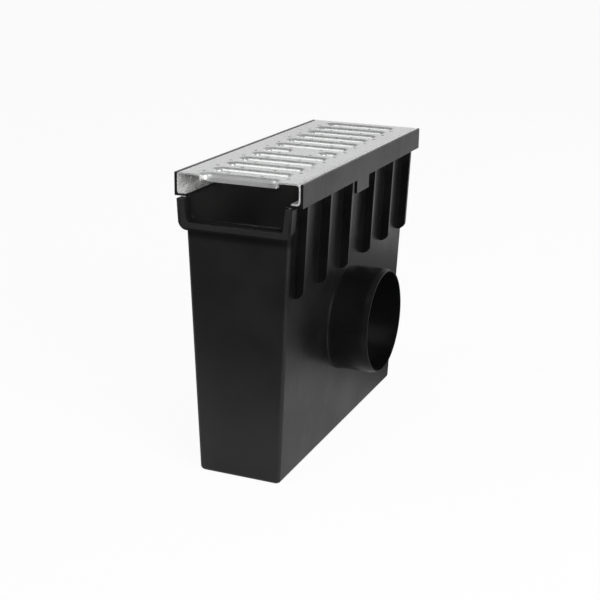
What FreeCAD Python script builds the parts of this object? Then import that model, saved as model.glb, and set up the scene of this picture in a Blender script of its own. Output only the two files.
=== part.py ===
import FreeCAD, Part
import math
import os

# Sump unit of a line drain: a moulded body with a side outlet, a pressed grating on its rails,
# and a lift-out silt bucket that stands on its floor. All sizes are in millimetres.
# X runs across the channel with the outlet at +X, Y runs along it, and Z is up from the base.

# Moulded body
overall_height = 300.0
base_length = 325.8
base_width = 86.0
top_length = 335.5
top_width = 108.4
wall = 3.0
floor_thickness = 3.0
corner_radius = 4.0
foot_bevel = 1.1

# Rails and ledges that carry the grating
rail_length = 340.0
rail_shift = 3.8
rail_wall = 2.5
ledge_thickness = 2.2

# Ribs under the ledges, in equal sets from the middle out, with shorter sets on the plain side
rib_count = 3
plain_rib_count = 2
rib_first = 33.0
rib_pitch = 58.2
rib_thickness = 4.0
rib_depth = 9.6
rib_length = 90.0
rib_round = 9.0

# Tab that hangs from the rail's face
tab_width = 34.5
tab_drop = 13.3
tab_thickness = 3.0
tab_offset = -9.0

# Channel ends: a socket at the near end and a tongue at the far end
socket_reach = 8.5
socket_root = 2.6
socket_width = 104.0
socket_taper = 3.0
socket_side = 6.5
socket_outer_taper = 1.8
socket_drop = 22.6
socket_sole = 7.5
socket_gap = 0.6
socket_round = 9.0
socket_inner_round = 4.0
channel_width = 98.0
channel_taper = 2.0
channel_step = 2.2
tongue_clearance = 0.5

# Outlet spigot
outlet_diameter = 110.0
outlet_wall = 3.0
outlet_height = 126.0
outlet_length = 41.7
outlet_bevel_length = 7.0
outlet_bevel = 1.5
outlet_root = 2.0

# Pressed grating
grating_width = 124.4
grating_height = 20.0
grating_side_gap = 0.3
sheet = 1.5
sheet_bend = 2.0
lip_width = 9.0
slot_pitch = 28.8
slot_first = 20.4
slot_length = 86.0
slot_opening = 10.8
slot_roll = 5.0
collar_depth = 7.0
roll_facets = 2
bridge_row = 7
bridge_width = 23.0
bridge_offset = 5.5

# Silt bucket and its bail
bucket_wall = 2.0
bucket_clearance = 3.5
bucket_freeboard = 8.0
bucket_draft = 3.0
bucket_flange = 2.5
bucket_flange_thickness = 2.5
bucket_corner = 8.0
ear_width = 14.0
bail_thickness = 5.0
bail_width = 4.0
bail_bend = 14.0
bail_pin_end = 1.5
bail_rest_gap = 0.3
bail_pin_gap = 0.1
bail_side_gap = 0.5

# Cutters run this far past what they open, and edges this close count as meeting
over = 10.0
touch = 1e-6

# Heights and places that follow from the sizes above
ledge_top = overall_height - grating_height
ledge_under = ledge_top - ledge_thickness
width_draft = (top_width - base_width) / 2 / ledge_under
length_draft = (top_length - base_length) / 2 / ledge_under
rail_half = grating_width / 2 + grating_side_gap + rail_wall
rail_near = rail_shift - rail_length / 2
rail_far = rail_shift + rail_length / 2
sheet_inner_bend = sheet_bend - sheet


def vec(x, y, z):
    return FreeCAD.Vector(x, y, z)


def half_width(z):
    """Half width of the drafted body outside, at height z."""
    return base_width / 2 + width_draft * z


def half_length(z):
    """Half length of the drafted body outside, at height z."""
    return base_length / 2 + length_draft * z


def wedge(low_x, low_y, z_low, high_x, high_y, z_high):
    """Tapered block from its half widths and half lengths at two heights."""
    block = Part.makeWedge(-low_x, z_low, -low_y, -high_y, -high_x, low_x, z_high, low_y, high_y, high_x)
    return block.rotated(vec(0, 0, 0), vec(1, 0, 0), 90)


def upright_edges(solid):
    """Edges that climb the corners of a tapered block."""
    height = solid.BoundBox.ZLength
    return [edge for edge in solid.Edges if edge.BoundBox.ZLength > height - touch]


def edges_at(solid, z):
    """Edges that lie flat at height z."""
    boxes = [(edge, edge.BoundBox) for edge in solid.Edges]
    return [edge for edge, box in boxes if abs(box.ZMin - z) < touch and abs(box.ZMax - z) < touch]


def tapered_block(inset, z_low, z_high, corner):
    """Block that follows the body's draft at an even inset, with rounded upright corners."""
    low = (half_width(z_low) - inset, half_length(z_low) - inset)
    high = (half_width(z_high) - inset, half_length(z_high) - inset)
    block = wedge(*low, z_low, *high, z_high)
    return block.makeFillet(corner, upright_edges(block))


def outline_face(points):
    return Part.Face(Part.makePolygon(points + points[:1]))


def along_y(points, y_low, y_high):
    """Solid with an outline of (x, z) points, from y_low to y_high."""
    face = outline_face([vec(x, y_low, z) for x, z in points])
    return face.extrude(vec(0, y_high - y_low, 0))


def lengthwise_edges(solid, z_high):
    """Edges parallel to Y below the height z_high."""
    length = solid.BoundBox.YLength
    long_edges = [edge for edge in solid.Edges if edge.BoundBox.YLength > length - touch]
    return [edge for edge in long_edges if edge.BoundBox.ZMax < z_high]


def trough(half_top, half_low, z_low, z_high, radius, y_low, y_high):
    """Round-bottomed U block: the outline of a channel section, closed across its top."""
    outline = [(-half_top, z_high), (-half_low, z_low), (half_low, z_low), (half_top, z_high)]
    block = along_y(outline, y_low, y_high)
    return block.makeFillet(radius, lengthwise_edges(block, (z_low + z_high) / 2))


def mirrored_pair(solid):
    return [solid, solid.mirror(vec(0, 0, 0), vec(1, 0, 0))]


def rail():
    """Upstanding rail with the ledge at its foot, on the outlet side."""
    ledge_inner = top_width / 2 - wall / 2
    rail_inner = rail_half - rail_wall
    outline = [
        (ledge_inner, ledge_under),
        (rail_half, ledge_under),
        (rail_half, overall_height),
        (rail_inner, overall_height),
        (rail_inner, ledge_top),
        (ledge_inner, ledge_top),
    ]
    return along_y(outline, rail_near, rail_far)


def rib(y):
    """Upright web from the wall to just behind the rail's face, rounded at its lower corner."""
    low = ledge_under - rib_length
    root = wall / 2
    outline = [
        (half_width(ledge_under) - root, ledge_under),
        (half_width(ledge_under) + rib_depth, ledge_under),
        (half_width(low) + rib_depth, low),
        (half_width(low) - root, low),
    ]
    web = along_y(outline, y - rib_thickness / 2, y + rib_thickness / 2)
    low_edges = lengthwise_edges(web, (low + ledge_under) / 2)
    outer_low = [edge for edge in low_edges if edge.BoundBox.XMin > half_width(low)]
    return web.makeFillet(rib_round, outer_low)


def tab():
    y_low = tab_offset - tab_width / 2
    corner = vec(rail_half - tab_thickness, y_low, ledge_under - tab_drop)
    return Part.makeBox(tab_thickness, tab_width, tab_drop, corner)


def spigot():
    """Solid of revolution for the outlet's outside: flared root, round land and lead-in bevel."""
    radius = outlet_diameter / 2
    end = half_width(outlet_height) + outlet_length
    start = half_width(outlet_height - radius) - wall
    land = half_width(outlet_height + radius) + outlet_root
    section = [
        vec(start, 0, outlet_height),
        vec(start, 0, outlet_height + radius + outlet_root),
        vec(land, 0, outlet_height + radius),
        vec(end - outlet_bevel_length, 0, outlet_height + radius),
        vec(end, 0, outlet_height + radius - outlet_bevel),
        vec(end, 0, outlet_height),
    ]
    return outline_face(section).revolve(vec(0, 0, outlet_height), vec(1, 0, 0), 360)


def outlet_bore():
    radius = outlet_diameter / 2 - outlet_wall
    length = half_width(outlet_height) + outlet_length + over
    return Part.makeCylinder(radius, length, vec(0, 0, outlet_height), vec(1, 0, 0))


def socket_shape():
    """Half widths and heights of the socket's inside, as (top, low, floor, leg top)."""
    half_top = socket_width / 2
    return half_top, half_top - socket_taper, ledge_under - socket_drop, ledge_under - socket_gap


def near_socket():
    """U flange that takes the next channel's tongue."""
    half_top, half_low, floor, leg_top = socket_shape()
    front = rail_near - socket_reach
    end_wall = -half_length(floor)
    back = end_wall + socket_root
    outer_top = half_top + socket_side
    outer_low = outer_top - socket_outer_taper
    outer = trough(outer_top, outer_low, floor - socket_sole, leg_top, socket_round, front, back)
    inner = trough(half_top, half_low, floor, leg_top + over, socket_inner_round, front - over, end_wall)
    return outer.cut(inner)


def far_tongue():
    """U tongue under the rails' overhang, a clearance smaller than the socket."""
    half_top, half_low, floor, leg_top = socket_shape()
    start = half_length(floor) - wall
    half_top = half_top - tongue_clearance
    half_low = half_low - tongue_clearance
    return trough(half_top, half_low, floor + tongue_clearance, leg_top, socket_inner_round, start, rail_far)


def channel_cut():
    """Clear section of the channel, through both end walls."""
    half_top = channel_width / 2
    half_low = half_top - channel_taper
    floor = ledge_under - socket_drop + channel_step
    start = rail_near - socket_reach - over
    return trough(half_top, half_low, floor, overall_height, socket_inner_round, start, rail_far + over)


def sump_body():
    shell = tapered_block(0, 0, ledge_under, corner_radius)
    shell = shell.makeChamfer(foot_bevel, edges_at(shell, 0))
    added = [spigot(), near_socket(), far_tongue()]
    for solid in [rail(), tab()]:
        added += mirrored_pair(solid)
    for index in range(rib_count):
        for side in (-1, 1):
            webs = mirrored_pair(rib(side * (rib_first + index * rib_pitch)))
            added += webs if index < plain_rib_count else webs[:1]
    shell = shell.fuse(added)
    cavity = tapered_block(wall, floor_thickness, overall_height, corner_radius - wall)
    shell = shell.cut([cavity, channel_cut(), outlet_bore()])
    return shell.removeSplitter()


def rounded_bar(half_x, z_low, z_high, radius, y):
    """Bar as long as the rails, with rounded lengthwise edges."""
    block = Part.makeBox(2 * half_x, rail_length, z_high - z_low, vec(-half_x, y, z_low))
    return block.makeFillet(radius, lengthwise_edges(block, overall_height + over))


def folded_sheet():
    """Sheet folded to a C: flat top, two flanges and two lips turned in."""
    half = grating_width / 2
    outer = rounded_bar(half, ledge_top, overall_height, sheet_bend, rail_near)
    inner = rounded_bar(half - sheet, ledge_top + sheet, overall_height - sheet, sheet_inner_bend, rail_near)
    mouth_half = half - lip_width
    mouth = Part.makeBox(2 * mouth_half, rail_length, sheet_bend, vec(-mouth_half, rail_near, ledge_top))
    return outer.cut([inner, mouth])


def rolled_section(x, y):
    """Section of a slot's rolled edge, at x, rolling down from y towards the slot's middle."""
    low = overall_height - collar_depth
    cut = y - slot_roll
    facet = math.pi / 2 / roll_facets
    section = []
    for index in range(roll_facets + 1):
        turn = facet * index
        height = overall_height - slot_roll * (1 - math.cos(turn))
        section.append(vec(x, y - slot_roll * math.sin(turn), height))
    section += [vec(x, cut, low), vec(x, cut + sheet, low)]
    section += [vec(x, y - sheet / 2, overall_height - sheet), vec(x, y, overall_height - sheet)]
    return outline_face(section)


def slot(x_low, x_high, y):
    """Window for one slot, and the rolled edge that goes all round it."""
    reach = slot_opening / 2 + slot_roll
    left = x_low + reach
    right = x_high - reach
    top = overall_height
    plate = Part.makeBox(right - left, 2 * reach, sheet, vec(left, y - reach, top - sheet))
    ends = [Part.makeCylinder(reach, sheet, vec(x, y, top - sheet)) for x in (left, right)]
    window = plate.fuse(ends)
    side = rolled_section(left, y + reach).extrude(vec(right - left, 0, 0))
    other = side.mirror(vec(0, y, 0), vec(0, 1, 0))
    left_end = rolled_section(left, y + reach).revolve(vec(left, y, 0), vec(0, 0, 1), 180)
    right_end = rolled_section(right, y + reach).revolve(vec(right, y, 0), vec(0, 0, 1), -180)
    return window, [side, other, left_end, right_end]


def slot_rows():
    """Places of the slots along the sheet, from the far end to the slot that the near end cuts open."""
    reach = slot_opening / 2 + slot_roll
    first = rail_far - slot_first
    count = math.floor((first + reach - rail_near) / slot_pitch) + 1
    return [first - index * slot_pitch for index in range(count)]


def slotted_grating():
    windows = []
    collars = []
    bridge_low = bridge_offset - bridge_width / 2
    for number, y in enumerate(slot_rows(), start=1):
        spans = [(-slot_length / 2, slot_length / 2)]
        if number == bridge_row:
            spans = [(-slot_length / 2, bridge_low), (bridge_low + bridge_width, slot_length / 2)]
        for x_low, x_high in spans:
            window, rolled = slot(x_low, x_high, y)
            windows.append(window)
            collars += rolled
    pressed = folded_sheet().cut(windows).fuse(collars)
    corner = vec(-grating_width / 2, rail_near, ledge_top)
    trim = Part.makeBox(grating_width, rail_length, grating_height, corner)
    return pressed.common(trim).removeSplitter()


# The bucket's rim stays below the outlet's invert, and its bail lies on the rim. Both clear the
# body's inside where it is narrowest, between the floor and the top of the bail
bucket_rim = outlet_height - outlet_diameter / 2 + outlet_wall - bucket_freeboard
bucket_inset = wall + bucket_clearance
bail_height = bucket_rim + bail_thickness / 2 + bail_rest_gap
bail_top = bail_height + bail_thickness / 2
bucket_half_width = min(half_width(floor_thickness), half_width(bail_top)) - bucket_inset
bucket_half_length = min(half_length(floor_thickness), half_length(bail_top)) - bucket_inset
ear_outside = bucket_half_width
ear_inside = ear_outside - bucket_wall
bail_outside = ear_inside - bail_side_gap
bail_reach = bucket_half_length - bucket_wall / 2


def bucket_block(inset, z_low):
    """Tapered block of the bucket's form, up to its rim."""
    low_x = bucket_half_width - bucket_draft - inset
    low_y = bucket_half_length - bucket_draft - inset
    block = wedge(low_x, low_y, z_low, bucket_half_width - inset, bucket_half_length - inset, bucket_rim)
    return block.makeFillet(bucket_corner - inset, upright_edges(block))


def bucket_collar():
    """Flange round the outside of the bucket's rim."""
    half_x = bucket_half_width + bucket_flange
    half_y = bucket_half_length + bucket_flange
    low = bucket_rim - bucket_flange_thickness
    block = Part.makeBox(2 * half_x, 2 * half_y, bucket_flange_thickness, vec(-half_x, -half_y, low))
    return block.makeFillet(bucket_corner + bucket_flange, upright_edges(block))


def ear():
    """Eye for the bail's pin, an upward tongue of the bucket's long wall."""
    round_radius = ear_width / 2
    foot = bucket_rim - bucket_flange_thickness
    post = Part.makeBox(bucket_wall, ear_width, bail_height - foot, vec(ear_inside, -round_radius, foot))
    crown = Part.makeCylinder(round_radius, bucket_wall, vec(ear_inside, 0, bail_height), vec(1, 0, 0))
    return post.fuse(crown)


def silt_bucket():
    bucket = bucket_block(0, floor_thickness).fuse([bucket_collar()] + mirrored_pair(ear()))
    hollow = bucket_block(bucket_wall, floor_thickness + bucket_wall)
    pin_hole_radius = bail_thickness / 2 + bail_pin_gap
    start = vec(-base_width / 2, 0, bail_height)
    pin_holes = Part.makeCylinder(pin_hole_radius, base_width, start, vec(1, 0, 0))
    return bucket.cut([hollow, pin_holes]).removeSplitter()


def bail_plate(half_x, y_low, y_high, radius):
    """Flat block from the pivot line to the cross bar, rounded at its two far corners."""
    low = bail_height - bail_thickness / 2
    block = Part.makeBox(2 * half_x, y_high - y_low, bail_thickness, vec(-half_x, y_low, low))
    far_corners = [edge for edge in upright_edges(block) if edge.BoundBox.YMax < y_low + touch]
    return block.makeFillet(radius, far_corners)


def bucket_bail():
    """Moulded strap: two legs with pins through the ears, and a cross bar that lies on the near rim."""
    inside = bail_outside - bail_width
    far_side = -bail_reach - bail_width / 2
    strap = bail_plate(bail_outside, far_side, 0, bail_bend)
    window = bail_plate(inside, far_side + bail_width, over, bail_bend - bail_width)
    pin_length = ear_outside + bail_pin_end - inside
    pin = Part.makeCylinder(bail_thickness / 2, pin_length, vec(inside, 0, bail_height), vec(1, 0, 0))
    return strap.cut(window).fuse(mirrored_pair(pin)).removeSplitter()


parts = {
    "sump_body": sump_body(),
    "slotted_grating": slotted_grating(),
    "silt_bucket": silt_bucket(),
    "bucket_bail": bucket_bail(),
}
os.makedirs("parts", exist_ok=True)
for name, shape in parts.items():
    solids = shape.Solids
    print(name, "solids", len(solids), "volume", round(shape.Volume), "valid", shape.isValid())
    if len(solids) == 1:
        shape = solids[0]
    shape.exportStep("parts/" + name + ".step")
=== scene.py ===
import math

import bmesh
import bpy
from mathutils import Matrix, Vector


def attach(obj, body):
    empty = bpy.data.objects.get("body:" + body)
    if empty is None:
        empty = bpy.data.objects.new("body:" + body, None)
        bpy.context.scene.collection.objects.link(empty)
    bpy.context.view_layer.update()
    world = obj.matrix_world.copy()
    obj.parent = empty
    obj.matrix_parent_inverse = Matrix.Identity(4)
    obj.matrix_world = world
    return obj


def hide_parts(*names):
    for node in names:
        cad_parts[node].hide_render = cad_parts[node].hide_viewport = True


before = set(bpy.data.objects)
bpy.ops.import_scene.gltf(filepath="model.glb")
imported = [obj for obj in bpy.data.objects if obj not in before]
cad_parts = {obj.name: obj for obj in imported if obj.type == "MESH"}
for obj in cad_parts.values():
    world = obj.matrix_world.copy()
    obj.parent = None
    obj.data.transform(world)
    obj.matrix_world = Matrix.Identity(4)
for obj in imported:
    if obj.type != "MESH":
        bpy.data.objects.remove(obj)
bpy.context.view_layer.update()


# Sump body: one injection moulding in black polypropylene, bedded in concrete. Drafted walls, rails, ribs,
# channel socket and outlet spigot come out of the same mould, so every outer edge is slightly eased. Below
# the rails the ribs and spigot carry painted shade, the end wall under the socket's sole a painted shadow,
# the socket's front face is tinted lighter, and the inside is painted lighter towards the far end.
HAIR = 1e-6
SUMP_EASE, EASE_SEGMENTS = 0.0005, 2
FLAT, SHARP, CREASE = math.radians(0.6), math.radians(25), math.radians(40)
HALF_FOOT = {"X": 0.043, "Y": 0.1629}
DRAFT = {"X": 0.0403, "Y": 0.0175}
HALF_WALL, MID_WALL_FADE = 0.0015, 0.0005
FOOT_BEVEL, FOOT_ROUND = 0.0011, 0.004
SOCKET_FRONT, SOCKET_SOLE = -0.1747, 0.2477
SOLE_ROUND, SOLE_SEGMENTS = 0.0022, 5
SOLE_CORNER, DOWNWARD = 0.00925, -0.3


def rounded(bm, edges, radius, segments):
    """Bevels edges to a round."""
    bmesh.ops.bevel(bm, geom=edges, offset=radius, offset_type="OFFSET", segments=segments, profile=0.5,
                    affect="EDGES", clamp_overlap=True, material=-1)


def round_foot(bm):
    """Turns the bevel round the sump's base into a full round, ring by ring."""
    low_ring, high_ring = 0.4 * FOOT_BEVEL, 2 * FOOT_BEVEL
    for level in (FOOT_ROUND, high_ring, low_ring):
        bmesh.ops.bisect_plane(bm, geom=bm.verts[:] + bm.edges[:] + bm.faces[:], dist=HAIR,
                               plane_co=(0, 0, level), plane_no=(0, 0, 1))
    for level in (0, low_ring, FOOT_BEVEL, high_ring):
        curve = FOOT_ROUND - math.sqrt(FOOT_ROUND ** 2 - (FOOT_ROUND - level) ** 2)
        inset = curve - max(FOOT_BEVEL - level, 0)
        ring = [v for v in bm.verts if abs(v.co.z - level) < 10 * HAIR]
        bmesh.ops.scale(bm, vec=(1 - inset / HALF_FOOT["X"], 1 - inset / HALF_FOOT["Y"], 1), verts=ring)


def round_sole(bm):
    """Rounds the lower front edge of the channel socket."""
    front = [e for e in bm.edges if all(abs(v.co.y - SOCKET_FRONT) < 10 * HAIR for v in e.verts)]
    lower = [e for e in front if e.verts[0].co.z + e.verts[1].co.z < 2 * (SOCKET_SOLE + SOLE_CORNER)]
    outer = [e for e in lower if any(f.normal.z < DOWNWARD for f in e.link_faces)]
    rounded(bm, outer, SOLE_ROUND, SOLE_SEGMENTS)


def placed(bm, name):
    """An object made of a finished bmesh, in the scene at the origin."""
    mesh = bpy.data.meshes.new(name)
    bm.to_mesh(mesh)
    bm.free()
    piece = bpy.data.objects.new(name, mesh)
    bpy.context.scene.collection.objects.link(piece)
    return piece


def shaded(bm, name):
    """A piece that is smooth over its rounds and crisp over its creases."""
    for face in bm.faces:
        face.smooth = True
    for edge in bm.edges:
        edge.smooth = len(edge.link_faces) == 2 and edge.calc_face_angle(0) < CREASE
    piece = placed(bm, name)
    even = piece.modifiers.new("even_normals", "WEIGHTED_NORMAL")
    even.keep_sharp = True
    return piece


def moulded_piece(name, node, ease, rounds=()):
    """A moulding: its solid's faces closed up, its own rounds shaped and its edges eased by a radius."""
    bm = bmesh.new()
    bm.from_mesh(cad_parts[node].data)
    bmesh.ops.remove_doubles(bm, verts=bm.verts, dist=2 * HAIR)
    bmesh.ops.dissolve_limit(bm, angle_limit=FLAT, verts=bm.verts, edges=bm.edges)
    for shape_round in rounds:
        shape_round(bm)
    sharp = [e for e in bm.edges if len(e.link_faces) == 2 and e.calc_face_angle(0) > SHARP]
    rounded(bm, sharp, ease, EASE_SEGMENTS)
    return shaded(bm, name)


def new_finish(name):
    """An empty node finish with its shader and output, ready for a surface's own nodes."""
    finish = bpy.data.materials.new(name)
    finish.use_nodes = True
    tree = finish.node_tree
    tree.nodes.clear()
    shader = tree.nodes.new("ShaderNodeBsdfPrincipled")
    output = tree.nodes.new("ShaderNodeOutputMaterial")
    tree.links.new(shader.outputs["BSDF"], output.inputs["Surface"])
    place = tree.nodes.new("ShaderNodeTexCoord")
    return finish, tree, shader, place.outputs["Object"]


def noise(tree, place, scale, detail):
    """Cloudy variation over the surface, as a factor from 0 to 1."""
    node = tree.nodes.new("ShaderNodeTexNoise")
    node.inputs["Scale"].default_value = scale
    node.inputs["Detail"].default_value = detail
    node.inputs["Roughness"].default_value = 0.55
    tree.links.new(place, node.inputs["Vector"])
    return node.outputs["Fac"]


def graded(tree, factor, low, high, start=0.3, end=0.7):
    """A factor mapped smoothly from low at its start to high at its end."""
    node = tree.nodes.new("ShaderNodeMapRange")
    node.interpolation_type = "SMOOTHSTEP"
    node.inputs["From Min"].default_value = start
    node.inputs["From Max"].default_value = end
    node.inputs["To Min"].default_value = low
    node.inputs["To Max"].default_value = high
    tree.links.new(factor, node.inputs["Value"])
    return node.outputs["Result"]


def rising(tree, factor, start, end):
    """A factor that grows from 0 to 1 between two values of another."""
    return graded(tree, factor, 0.0, 1.0, start, end)


def fading(tree, factor, start, end):
    """A factor that falls from 1 to 0 between two values of another."""
    return graded(tree, factor, 1.0, 0.0, start, end)


def tinted(tree, factor, first, second):
    """A colour between two tones, each given as three numbers or by another node."""
    node = tree.nodes.new("ShaderNodeMix")
    node.data_type = "RGBA"
    for tone, socket in ((first, node.inputs["A"]), (second, node.inputs["B"])):
        if isinstance(tone, tuple):
            socket.default_value = (*tone, 1)
        else:
            tree.links.new(tone, socket)
    tree.links.new(factor, node.inputs["Factor"])
    return node.outputs["Result"]


def reckoned(tree, operation, *terms):
    """The result of a sum, each term given as a number or by another node."""
    node = tree.nodes.new("ShaderNodeMath")
    node.operation = operation
    for term, socket in zip(terms, node.inputs):
        if isinstance(term, float):
            socket.default_value = term
        else:
            tree.links.new(term, socket)
    return node.outputs["Value"]


def together(tree, factor, *others):
    """A factor that holds only where several others do."""
    for other in others:
        factor = reckoned(tree, "MULTIPLY", factor, other)
    return factor


def split(tree, vector):
    """A place's or a direction's X, Y and Z."""
    node = tree.nodes.new("ShaderNodeSeparateXYZ")
    tree.links.new(vector, node.inputs["Vector"])
    return node.outputs


def roughened(tree, height, strength, distance, below=None):
    """A bump from a height factor, on top of another bump if one is given."""
    node = tree.nodes.new("ShaderNodeBump")
    node.inputs["Strength"].default_value = strength
    node.inputs["Distance"].default_value = distance
    tree.links.new(height, node.inputs["Height"])
    if below:
        tree.links.new(below, node.inputs["Normal"])
    return node.outputs["Normal"]


def black_polypropylene(name, tones, gloss):
    """Black moulded polypropylene: cloudy gloss, a fine grain, faint sink marks and upright scuffs."""
    finish, tree, shader, place = new_finish(name)
    cloud = noise(tree, place, scale=16.0, detail=5.0)
    tree.links.new(tinted(tree, graded(tree, cloud, 0.0, 1.0), *tones), shader.inputs["Base Color"])
    drawn = tree.nodes.new("ShaderNodeMapping")
    drawn.inputs["Scale"].default_value = (1.0, 1.0, 0.06)
    tree.links.new(place, drawn.inputs["Vector"])
    scuffs = noise(tree, drawn.outputs["Vector"], scale=260.0, detail=3.0)
    rubbed = graded(tree, scuffs, low=0.0, high=0.08, start=0.55, end=0.75)
    tree.links.new(reckoned(tree, "ADD", graded(tree, cloud, *gloss), rubbed), shader.inputs["Roughness"])
    sunk = roughened(tree, noise(tree, place, scale=24.0, detail=2.0), strength=0.10, distance=0.001)
    grain = noise(tree, place, scale=1100.0, detail=2.0)
    grained = roughened(tree, grain, strength=0.08, distance=0.0002, below=sunk)
    tree.links.new(grained, shader.inputs["Normal"])
    shader.inputs["IOR"].default_value = 1.46
    return finish, tree, shader, place


def past_middle(tree, spot, axis):
    """Distance out from the sump's middle, less what the walls' draft adds at that height."""
    out = reckoned(tree, "ABSOLUTE", spot[axis])
    return reckoned(tree, "MULTIPLY_ADD", spot["Z"], -DRAFT[axis], out)


def within_wall(tree, spot, axis):
    """A factor of 1 between two drafted walls, which fades at mid wall."""
    mid = HALF_FOOT[axis] - HALF_WALL
    return fading(tree, past_middle(tree, spot, axis), mid - MID_WALL_FADE, mid + MID_WALL_FADE)


PROUD_OF_WALL = (HALF_FOOT["X"] + 0.0002, HALF_FOOT["X"] + 0.0018)
FACING_OUT, FACING_UP, SHADE_ON_TOP = (0.4, 0.9), (0.2, 0.9), 0.3
RIB_HEAD = (0.262, 0.272)
NEAR_WALL = (-0.160, -0.155)
BELOW_SOLE, SOLE_LIP = (0.2345, 0.2450), (SOCKET_SOLE + 0.0012, SOCKET_SOLE + 0.0026)
RIM_FACE = (SOCKET_FRONT + 0.001, SOCKET_FRONT + 0.003)
RIM_FOOT = (SOCKET_SOLE + 0.0015, SOCKET_SOLE + 0.003)
INSIDE_FILL_SPAN = (-0.185, 0.02)
SPECULAR, SHADED_SPECULAR = 0.5, 0.15
RIM_TINT_BLACK = (0.012, 0.012, 0.012)
NEAR_INSIDE_TONE, LIT_FAR_INSIDE_TONE = (0.004, 0.004, 0.004), (0.10, 0.10, 0.098)
SUMP_TONES = ((0.003, 0.003, 0.0032), (0.005, 0.005, 0.0053))
SUMP_GLOSS = (0.28, 0.38)

sump = moulded_piece("moulded_sump", "sump_body", SUMP_EASE, rounds=(round_foot, round_sole))
sump_finish, tree, shader, place = black_polypropylene("black_polypropylene", SUMP_TONES, SUMP_GLOSS)
spot = split(tree, place)
facing = split(tree, place.node.outputs["Normal"])
# Painted shade: the specular level is lowered on the ribs' sides and the spigot below the rails, where they
# sit in shade, and on the end wall just under the socket's sole and the sole's lower edge, a painted
# shadow.
stands_out = rising(tree, past_middle(tree, spot, "X"), *PROUD_OF_WALL)
turned_away = fading(tree, facing["X"], *FACING_OUT)
not_on_top = graded(tree, facing["Z"], 1.0, SHADE_ON_TOP, *FACING_UP)
rib_shade = together(tree, stands_out, turned_away, not_on_top, fading(tree, spot["Z"], *RIB_HEAD))
under_sole = together(tree, rising(tree, spot["Z"], *BELOW_SOLE), fading(tree, spot["Y"], *NEAR_WALL),
                      fading(tree, spot["Z"], *SOLE_LIP))
painted_shade = reckoned(tree, "MAXIMUM", rib_shade, under_sole)
specular = graded(tree, painted_shade, SPECULAR, SHADED_SPECULAR, start=0.0, end=1.0)
tree.links.new(specular, shader.inputs["Specular IOR Level"])
# The socket's front face above its sole is tinted a lighter black.
socket_rim = together(tree, fading(tree, spot["Y"], *RIM_FACE), rising(tree, spot["Z"], *RIM_FOOT))
clean_black = shader.inputs["Base Color"].links[0].from_socket
rim_tinted = tinted(tree, socket_rim, clean_black, RIM_TINT_BLACK)
# Painted light: the inside is painted lighter towards the far end, evening out the shade it lies in.
inside_fill = tinted(tree, rising(tree, spot["Y"], *INSIDE_FILL_SPAN), NEAR_INSIDE_TONE, LIT_FAR_INSIDE_TONE)
inside = together(tree, within_wall(tree, spot, "X"), within_wall(tree, spot, "Y"))
tree.links.new(tinted(tree, inside, rim_tinted, inside_fill), shader.inputs["Base Color"])
sump.data.materials.append(sump_finish)
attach(sump, "sump")
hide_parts("sump_body")


# Silt bucket: a thin tray moulded in the same plastic with a duller face. It stands loose on the sump's
# floor, below the outlet, and is lifted out by its bail.
BUCKET_EASE = 0.0004
BUCKET_TONES = ((0.014, 0.014, 0.015), (0.024, 0.024, 0.025))
BUCKET_GLOSS = (0.45, 0.60)

bucket = moulded_piece("moulded_bucket", "silt_bucket", BUCKET_EASE)
bucket_finish = black_polypropylene("matt_bucket_plastic", BUCKET_TONES, BUCKET_GLOSS)[0]
bucket.data.materials.append(bucket_finish)
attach(bucket, "sump")
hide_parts("silt_bucket")


# Bail: a strap moulded in the bucket's plastic, whose two pins snap into the bucket's ears. It lies folded
# on the near rim and swings up to lift the bucket.
BAIL_EASE = 0.0005

bail = moulded_piece("moulded_bail", "bucket_bail", BAIL_EASE)
bail.data.materials.append(bucket_finish)
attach(bail, "bail")
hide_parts("bucket_bail")


# Slotted grating: one galvanised steel sheet. Slots are punched and their edges rolled down, small dents
# are pressed between them, the long sides are folded to a C that lies on the ledges, and the near end is
# cut off by shearing. The cut row's rolled edge carries painted shade, and inside the folded sides the
# zinc is painted lighter, a painted light.
SHEET = 0.0015
HALF_WIDTH = 0.0622
FOLDS, FOLD_STEPS = {-1: 0.002, 1: 0.004}, 6
TOP, FOOT = 0.300, 0.280
LIP, ALONG_SHEET = 0.009, 0.01
NEAR, FAR = -0.1662, 0.1738
SPARE = 0.014
SLOT_PITCH, FIRST_SLOT = 0.0288, 0.0204
SLOT_HALF = 0.043
OPENING, ROLL, COLLAR, END_COLLAR = 0.0108, 0.005, 0.0082, 0.003
SLOT_SEGMENTS, ROLL_STEPS = 36, 7
SLOT_TURN = math.radians(180 / SLOT_SEGMENTS)
BRIDGE_SLOT, BRIDGE = 7, (-0.006, 0.017)
DENT, DENT_SEGMENTS, DENT_PLACES = 0.0023, 14, (-0.043, -0.017, 0.017, 0.043)
DENT_STEPS = ((0.85, 0.00015), (0.75, 0.0005), (0.6, 0.0004))

bm = bmesh.new()
rims = []


def edges_at(verts):
    """The edges that meet some points, each once and always in the same order."""
    return list(dict.fromkeys(e for v in verts for e in v.link_edges))


def deepen(rim, middles, shrink, drop):
    """Extrudes an outline inwards and down: each of its round ends shrinks about its own middle."""
    grown = bmesh.ops.extrude_edge_only(bm, edges=rim)["geom"]
    verts = [g for g in grown if isinstance(g, bmesh.types.BMVert)]
    edges = [g for g in grown if isinstance(g, bmesh.types.BMEdge) and g.is_boundary]
    between = sum(m.x for m in middles) / len(middles)
    for index, middle in enumerate(middles):
        ends = verts if len(middles) == 1 else [v for v in verts if (v.co.x > between) == bool(index)]
        bmesh.ops.scale(bm, vec=(shrink, shrink, 1), space=Matrix.Translation(-middle), verts=ends)
    bmesh.ops.translate(bm, vec=(0, 0, -drop), verts=verts)
    return edges


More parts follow.
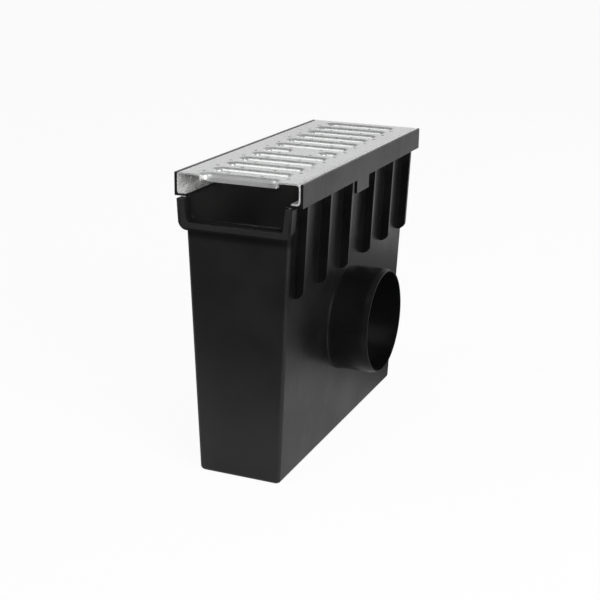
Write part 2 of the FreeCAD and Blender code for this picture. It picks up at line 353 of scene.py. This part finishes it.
def rolled_slot(x_low, x_high, y):
    """Punched slot, its edge rolled down and drawn to a collar, which is short at the slot's round ends."""
    reach = OPENING / 2 + ROLL
    ring = bmesh.ops.create_circle(bm, cap_ends=False, radius=reach, segments=SLOT_SEGMENTS,
                                   matrix=Matrix.Rotation(SLOT_TURN, 4, "Z"))["verts"]
    rim = edges_at(ring)
    middles = [Vector((x_low + reach, y, 0)), Vector((x_high - reach, y, 0))]
    right = [v for v in ring if v.co.x > 0]
    left = [v for v in ring if v.co.x <= 0]
    bmesh.ops.translate(bm, vec=middles[0] + Vector((0, 0, TOP)), verts=left)
    bmesh.ops.translate(bm, vec=middles[1] + Vector((0, 0, TOP)), verts=right)
    rims.extend(rim)
    radius, depth = reach, 0.0
    for step in range(1, ROLL_STEPS + 1):
        turn = math.pi / 2 * step / ROLL_STEPS
        next_radius, next_depth = reach - ROLL * math.sin(turn), ROLL * (1 - math.cos(turn))
        rim = deepen(rim, middles, next_radius / radius, next_depth - depth)
        radius, depth = next_radius, next_depth
    deepen(rim, middles, 1.0, COLLAR - depth)
    for vert in (v for v in bm.verts if v.co.z < TOP and abs(v.co.y - y) < reach):
        past = max(middles[0].x - vert.co.x, vert.co.x - middles[1].x, 0) / reach
        if x_low <= vert.co.x <= x_high:
            vert.co.z = TOP + (vert.co.z - TOP) * (1 - past * (1 - END_COLLAR / COLLAR))


def pressed_dent(x, y):
    """Small round dent, its floor a flat disc."""
    ring = bmesh.ops.create_circle(bm, cap_ends=False, radius=DENT, segments=DENT_SEGMENTS,
                                   matrix=Matrix.Translation((x, y, TOP)))["verts"]
    rim = edges_at(ring)
    rims.extend(rim)
    middles = [Vector((x, y, 0))]
    for shrink, drop in DENT_STEPS:
        rim = deepen(rim, middles, shrink, drop)
    bmesh.ops.contextual_create(bm, geom=rim)


slot_total = int((FAR - FIRST_SLOT + OPENING / 2 + ROLL - NEAR) / SLOT_PITCH) + 1
for row in range(1, slot_total + 1):
    y = FAR - FIRST_SLOT - (row - 1) * SLOT_PITCH
    if row == BRIDGE_SLOT:
        rolled_slot(-SLOT_HALF, BRIDGE[0], y)
        rolled_slot(BRIDGE[1], SLOT_HALF, y)
    else:
        rolled_slot(-SLOT_HALF, SLOT_HALF, y)
    if row < slot_total:
        for x in DENT_PLACES:
            pressed_dent(x, y - SLOT_PITCH / 2)

flat_left, flat_right = FOLDS[-1] - HALF_WIDTH, HALF_WIDTH - FOLDS[1]
flat_length = FAR - NEAR + SPARE
blank_middle = Matrix.Translation(((flat_left + flat_right) / 2, FAR - flat_length / 2, TOP))
blank_size = Matrix.Diagonal((flat_right - flat_left, flat_length, 1, 1))
blank = bmesh.ops.create_grid(bm, x_segments=1, y_segments=1, size=0.5,
                              matrix=blank_middle @ blank_size)["verts"]
blank_edges = edges_at(blank)
bmesh.ops.delete(bm, geom=blank[0].link_faces[:], context="FACES_ONLY")
bmesh.ops.triangle_fill(bm, use_beauty=True, use_dissolve=False, edges=rims + blank_edges, normal=(0, 0, 1))

for side, fold in FOLDS.items():
    hinge = side * (HALF_WIDTH - fold)
    upright = (0, 0, FOOT + 2 * fold - TOP)
    lip = (side * (fold - LIP), 0, 0)
    hem = [e for e in bm.edges
           if all(abs(v.co.x - hinge) < HAIR and v.co.z > TOP - HAIR for v in e.verts)]
    for centre_z, reach in ((TOP - fold, upright), (FOOT + fold, lip)):
        hem_ends = list(dict.fromkeys(v for e in hem for v in e.verts))
        bent = bmesh.ops.spin(bm, geom=hem + hem_ends, cent=(hinge, 0, centre_z), axis=(0, side, 0),
                              angle=math.pi / 2, steps=FOLD_STEPS, use_merge=False)["geom_last"]
        hem = [g for g in bent if isinstance(g, bmesh.types.BMEdge)]
        grown = bmesh.ops.extrude_edge_only(bm, edges=hem)["geom"]
        bmesh.ops.translate(bm, vec=reach, verts=[g for g in grown if isinstance(g, bmesh.types.BMVert)])
        hem = [g for g in grown if isinstance(g, bmesh.types.BMEdge) and g.is_boundary
               and abs(g.verts[0].co.y - g.verts[1].co.y) > ALONG_SHEET]
bmesh.ops.remove_doubles(bm, verts=bm.verts, dist=HAIR)
bmesh.ops.bisect_plane(bm, geom=bm.verts[:] + bm.edges[:] + bm.faces[:], dist=HAIR,
                       plane_co=(0, NEAR, 0), plane_no=(0, -1, 0), clear_outer=True)
bmesh.ops.recalc_face_normals(bm, faces=bm.faces)
top_faces = [f for f in bm.faces if f.calc_center_median().z > TOP - HAIR]
if max(top_faces, key=lambda f: f.calc_area()).normal.z < 0:
    bmesh.ops.reverse_faces(bm, faces=bm.faces)
bmesh.ops.solidify(bm, geom=bm.faces[:], thickness=SHEET)
grating = shaded(bm, "slotted_sheet")

ZINC_TONES, CRYSTAL_SHARE = ((0.53, 0.54, 0.535), (0.69, 0.70, 0.69)), 0.2
STAINED_ZINC, SHADED_CUT_ZINC, LIT_FLANGE_ZINC = (0.30, 0.305, 0.30), (0.40, 0.405, 0.40), (0.86, 0.86, 0.85)
TRODDEN = (TOP - 0.0008, TOP - 0.0002)
FLANGE, FLANGE_HEAD = (0.052, 0.058), (TOP - 0.003, TOP - 0.001)
SHEARED_END, SHEARED_WIDTH = (-0.1532, -0.1522), (0.028, 0.034)
SHEARED_HEAD, SHEARED_ROUGHNESS = (TOP - 0.0009, TOP - 0.0003), 0.35

zinc, tree, shader, place = new_finish("galvanised_sheet")
flakes = tree.nodes.new("ShaderNodeTexVoronoi")
flakes.inputs["Scale"].default_value = 260.0
tree.links.new(place, flakes.inputs["Vector"])
crystal = rising(tree, flakes.outputs["Color"], start=0.1, end=0.9)
stain = noise(tree, place, scale=150.0, detail=2.0)
flecked = reckoned(tree, "MULTIPLY_ADD", crystal, CRYSTAL_SHARE, graded(tree, stain, low=0.0, high=0.8))
clean_zinc = tinted(tree, flecked, *ZINC_TONES)
spot = split(tree, place)
outward = reckoned(tree, "ABSOLUTE", spot["X"])
# Painted light: inside the folded sides the zinc is painted lighter, for light bouncing in through the
# slots.
flange_fill = together(tree, rising(tree, outward, *FLANGE), fading(tree, spot["Z"], *FLANGE_HEAD))
bright = tinted(tree, flange_fill, clean_zinc, LIT_FLANGE_ZINC)
speck = graded(tree, noise(tree, place, scale=420.0, detail=1.0), low=0.0, high=0.6, start=0.52, end=0.64)
patch = rising(tree, noise(tree, place, scale=14.0, detail=1.0), start=0.5, end=0.62)
specks = together(tree, speck, patch, rising(tree, spot["Z"], *TRODDEN))
stained = tinted(tree, specks, bright, STAINED_ZINC)
# Painted shade: the cut row's rolled edge at the near end is painted darker and made rougher, standing in
# for the light that its missing near half would throw back.
cut_row_shade = together(tree, fading(tree, spot["Y"], *SHEARED_END), fading(tree, outward, *SHEARED_WIDTH),
                   fading(tree, spot["Z"], *SHEARED_HEAD))
tree.links.new(tinted(tree, cut_row_shade, stained, SHADED_CUT_ZINC), shader.inputs["Base Color"])
satin = graded(tree, stain, low=0.24, high=0.34)
brushed = reckoned(tree, "MULTIPLY_ADD", cut_row_shade, SHEARED_ROUGHNESS, satin)
tree.links.new(brushed, shader.inputs["Roughness"])
shader.inputs["Metallic"].default_value = 0.60
waves = roughened(tree, noise(tree, place, scale=35.0, detail=1.0), strength=0.06, distance=0.002)
flaked = roughened(tree, flakes.outputs["Distance"], strength=0.02, distance=0.0003, below=waves)
tree.links.new(flaked, shader.inputs["Normal"])
grating.data.materials.append(zinc)
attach(grating, "sump")
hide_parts("slotted_grating")


# Studio: the unit stands on white paper. In the plastic's reflections the paper shows painted light, a pool
# round the outlet, in front on the left and far behind, and painted shade elsewhere. Soft boxes hang in
# front on both sides and one stands low behind on the right.
# The ceiling and the room in front stay dark.
FLOOR_HALF = 40.0
PAPER_TONE, LIT_PAPER_TONE = (0.9, 0.9, 0.9), (1.0, 1.0, 1.0)
POOL_MIDDLE, POOL_FADE = (0.10, -0.12, 0), (0.19, 0.34)
POOL_LIGHT, POOL_DARK = 0.80, 0.15
SLANT = math.radians(207.3)
SEEN_SHARE, MIRRORED_SHARE = 0.94, 0.2

bm = bmesh.new()
bmesh.ops.create_grid(bm, x_segments=1, y_segments=1, size=FLOOR_HALF)
floor = placed(bm, "floor")
paper, tree, shader, place = new_finish("white_paper")
shader.inputs["Roughness"].default_value = 0.9
ground = split(tree, place)
# Painted light: seen in reflections the paper's tone is a painted pool of light round the unit, painted
# light in front on the left and far behind, and painted shade elsewhere; to the camera it stays evenly
# white.
apart = tree.nodes.new("ShaderNodeVectorMath")
apart.operation = "DISTANCE"
apart.inputs[1].default_value = POOL_MIDDLE
tree.links.new(place, apart.inputs[0])
pool = graded(tree, apart.outputs["Value"], POOL_LIGHT, POOL_DARK, *POOL_FADE)
aslant = tree.nodes.new("ShaderNodeMapping")
aslant.inputs["Rotation"].default_value = (0, 0, SLANT)
tree.links.new(place, aslant.inputs["Vector"])
leftward = split(tree, aslant.outputs["Vector"])["X"]
in_front = together(tree, graded(tree, leftward, low=0.12, high=1.0, start=-0.10, end=-0.03),
                    fading(tree, ground["Y"], start=-0.15, end=0.0),
                    graded(tree, ground["Y"], low=0.30, high=1.0, start=-0.55, end=-0.25))
far_off = graded(tree, ground["Y"], low=0.0, high=0.88, start=0.55, end=0.85)
lit = reckoned(tree, "MAXIMUM", reckoned(tree, "MAXIMUM", far_off, pool), in_front)
rays = tree.nodes.new("ShaderNodeLightPath").outputs
surface = shader.outputs["BSDF"].links[0].to_socket
tree.links.new(tinted(tree, rays["Is Glossy Ray"], PAPER_TONE, lit), shader.inputs["Base Color"])
glow = tree.nodes.new("ShaderNodeEmission")
tree.links.new(tinted(tree, rays["Is Glossy Ray"], LIT_PAPER_TONE, lit), glow.inputs["Color"])
# Painted light: seen in reflections the paper far behind glows brighter.
behind = together(tree, graded(tree, ground["Y"], low=0.0, high=1.4, start=0.62, end=0.80),
                  fading(tree, ground["Y"], start=0.95, end=1.10))
strength = reckoned(tree, "MULTIPLY_ADD", rays["Is Glossy Ray"], behind, 1.0)
tree.links.new(strength, glow.inputs["Strength"])
seen = reckoned(tree, "MAXIMUM", rays["Is Camera Ray"], rays["Is Transmission Ray"])
mirrored = reckoned(tree, "MULTIPLY", rays["Is Glossy Ray"], MIRRORED_SHARE)
blend = tree.nodes.new("ShaderNodeMixShader")
tree.links.new(reckoned(tree, "MULTIPLY_ADD", seen, SEEN_SHARE, mirrored), blend.inputs["Fac"])
tree.links.new(shader.outputs["BSDF"], blend.inputs[1])
tree.links.new(glow.outputs["Emission"], blend.inputs[2])
tree.links.new(blend.outputs["Shader"], surface)
floor.data.materials.append(paper)

ROOM_TONE, DARK_ROOM_TONE = (1.0, 1.0, 1.0), (0.15, 0.15, 0.15)

world = bpy.data.worlds.new("studio")
bpy.context.scene.world = world
world.use_nodes = True
tree = world.node_tree
direction = split(tree, tree.nodes.new("ShaderNodeTexCoord").outputs["Generated"])
ceiling = rising(tree, direction["Z"], start=0.34, end=0.58)
front = graded(tree, direction["Y"], low=0.8, high=0.0, start=-0.5, end=0.1)
dim = reckoned(tree, "MAXIMUM", ceiling, front)
backdrop = tree.nodes["Background"]
tree.links.new(tinted(tree, dim, ROOM_TONE, DARK_ROOM_TONE), backdrop.inputs["Color"])
backdrop.inputs["Strength"].default_value = 1.0


def soft_box(name, place, target, size, power):
    """Soft lamp turned towards a point."""
    lamp = bpy.data.lights.new(name, "AREA")
    lamp.shape = "RECTANGLE"
    lamp.size, lamp.size_y = size
    lamp.energy = power
    holder = bpy.data.objects.new(name, lamp)
    holder.location = place
    holder.rotation_euler = (Vector(target) - Vector(place)).to_track_quat("-Z", "Y").to_euler()
    bpy.context.scene.collection.objects.link(holder)


soft_box("left_box", place=(-0.63, -1.0, 1.5), target=(0, 0, 0.25), size=(1.1, 1.1), power=8)
soft_box("right_box", place=(1.45, -0.95, 0.75), target=(0, 0, 0.28), size=(1.2, 1.2), power=36)
soft_box("back_box", place=(0.75, 1.8, 0.95), target=(0, 0, 0.28), size=(1.2, 0.6), power=4)

EYE_PLACE = (0.4778, -1.1626, 0.5317)
EYE_RIGHT = Vector((0.92137, 0.38840, 0.01545))
EYE_UP = Vector((-0.13005, 0.27055, 0.95389))

camera = bpy.data.cameras.new("camera")
camera.sensor_width = 36
camera.lens = 74.136
camera.clip_end = 100
eye = bpy.data.objects.new("camera", camera)
eye_turn = Matrix((EYE_RIGHT, EYE_UP, EYE_RIGHT.cross(EYE_UP))).transposed().to_4x4()
eye.matrix_world = Matrix.Translation(EYE_PLACE) @ eye_turn
bpy.context.scene.collection.objects.link(eye)
bpy.context.scene.camera = eye
bpy.context.scene.view_settings.view_transform = "Standard"
